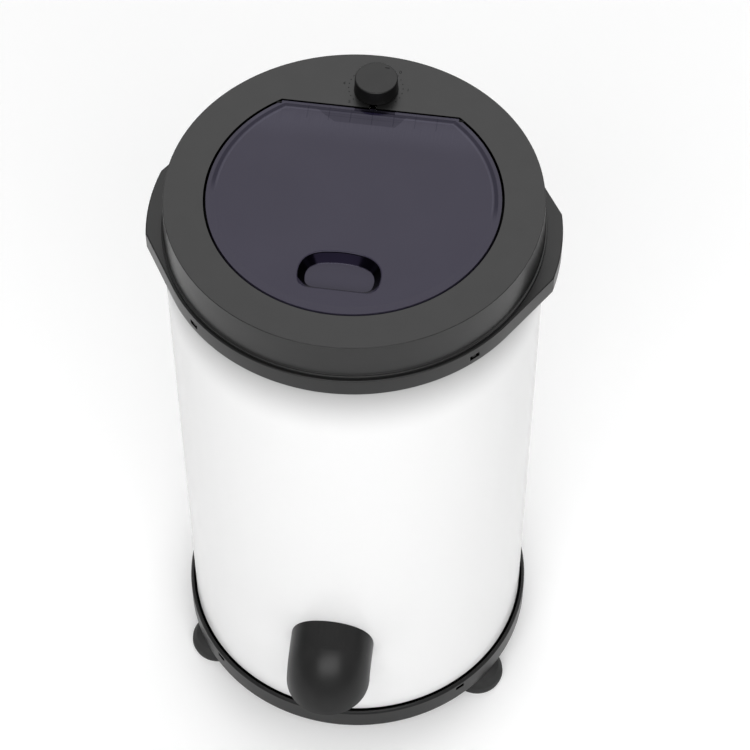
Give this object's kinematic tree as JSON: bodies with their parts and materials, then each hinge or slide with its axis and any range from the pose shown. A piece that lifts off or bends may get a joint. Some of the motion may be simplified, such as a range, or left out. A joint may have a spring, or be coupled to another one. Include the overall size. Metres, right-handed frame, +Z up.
{
  "type": "laundry spin dryer",
  "caption": "Upright cylindrical laundry spin dryer with a hinged D-shaped lid, timer knob, carrying ears, perforated drum, drain spout and dome feet.",
  "frame": {"origin": "on the floor, midway between the spout's front and the rear foot's back, and midway between the ears", "axes": "+Z up along the drum's axis, -Y to the front where the spout is, +X to the object's left ear as seen from behind, right as seen from the front"},
  "size_m": [0.381, 0.4381, 0.6982],
  "materials": {
    "white_paint": "smooth gloss enamel",
    "grey_plastic": "finely grained",
    "black_plastic": "satin",
    "lid_plastic": "polished, tinted and nearly opaque",
    "dark_rubber": "matte",
    "pale_plastic": "as moulded",
    "bright_steel": "polished",
    "zinc_steel": "zinc plated",
    "cast_metal": "as cast",
    "winding": "enamelled copper wire",
    "brake_lining": "pressed friction lining"
  },
  "bodies": {
    "cabinet": {"base_ring": "grey_plastic", "base_grille": "black_plastic", "foot_1": "dark_rubber", "foot_2": "dark_rubber", "foot_3": "dark_rubber", "foot_screw_1": "zinc_steel", "foot_screw_2": "zinc_steel", "foot_screw_3": "zinc_steel", "body_shell": "white_paint", "cord_grommet": "dark_rubber", "carry_flange": "grey_plastic", "top_cover": "grey_plastic", "base_screw_1": "zinc_steel", "base_screw_2": "zinc_steel", "base_screw_3": "zinc_steel", "base_screw_4": "zinc_steel", "flange_screw_1": "zinc_steel", "flange_screw_2": "zinc_steel", "flange_screw_3": "zinc_steel", "flange_screw_4": "zinc_steel", "outer_tub": "pale_plastic", "tub_cover": "pale_plastic", "mouth_seal": "dark_rubber", "drain_spout": "grey_plastic", "outlet_gasket": "dark_rubber", "hinge_pin_left": "black_plastic", "hinge_pin_right": "black_plastic", "timer_body": "pale_plastic", "timer_nut": "zinc_steel", "motor_stator": "winding", "motor_housing": "cast_metal", "upper_bearing": "bright_steel", "lower_bearing": "bright_steel", "shaft_bellows": "dark_rubber", "motor_carrier": "zinc_steel", "suspension_bracket_1": "zinc_steel", "suspension_bracket_2": "zinc_steel", "suspension_bracket_3": "zinc_steel", "suspension_mount_1": "dark_rubber", "suspension_mount_2": "dark_rubber", "suspension_mount_3": "dark_rubber", "capacitor": "pale_plastic", "brake_bracket": "zinc_steel", "brake_pin": "bright_steel", "rocker_bracket": "zinc_steel", "rocker_pin": "bright_steel", "lid_switch": "black_plastic"},
    "drum": {"spin_drum": "bright_steel", "drum_hub": "cast_metal", "drum_nut": "zinc_steel", "drive_shaft": "bright_steel", "motor_rotor": "cast_metal", "brake_disc": "bright_steel"},
    "lid": {"lid_panel": "lid_plastic"},
    "knob": {"control_knob": "black_plastic", "timer_spindle": "bright_steel"},
    "rocker": {"interlock_rocker": "pale_plastic"},
    "rod": {"brake_rod": "bright_steel"},
    "brake": {"brake_arm": "zinc_steel", "brake_shoe": "brake_lining"}
  },
  "joints": [
    {"name": "drum_spin", "type": "hinge", "parent": "cabinet", "child": "drum", "pos_m": [0, 0.028, 0.2], "axis": [0, 0, 1], "continuous": true},
    {"name": "lid_hinge", "type": "hinge", "parent": "cabinet", "child": "lid", "pos_m": [0, 0.1313, 0.6803], "axis": [-1, 0, 0], "range_deg": [0, 98]},
    {"name": "timer_turn", "type": "hinge", "parent": "cabinet", "child": "knob", "pos_m": [0.0018, 0.1578, 0.69], "axis": [0, 0, -1], "range_deg": [0, 300]},
    {"name": "rocker_tilt", "type": "hinge", "parent": "cabinet", "child": "rocker", "pos_m": [0, 0.178, 0.636], "axis": [1, 0, 0], "range_deg": [0, 6.14]},
    {"name": "rod_lift", "type": "slide", "parent": "cabinet", "child": "rod", "axis": [0, 0, 1], "range_m": [0, 0.00182]},
    {"name": "brake_tilt", "type": "hinge", "parent": "cabinet", "child": "brake", "pos_m": [0, 0.108, 0.066], "axis": [1, 0, 0], "range_deg": [0, 1.2]}
  ],
  "couplings": [
    {"joint": "rocker_tilt", "follows": "lid_hinge", "ratio": 0.062663},
    {"joint": "rod_lift", "follows": "lid_hinge", "m_per_rad": 0.0010652},
    {"joint": "brake_tilt", "follows": "lid_hinge", "ratio": 0.012245}
  ]
}
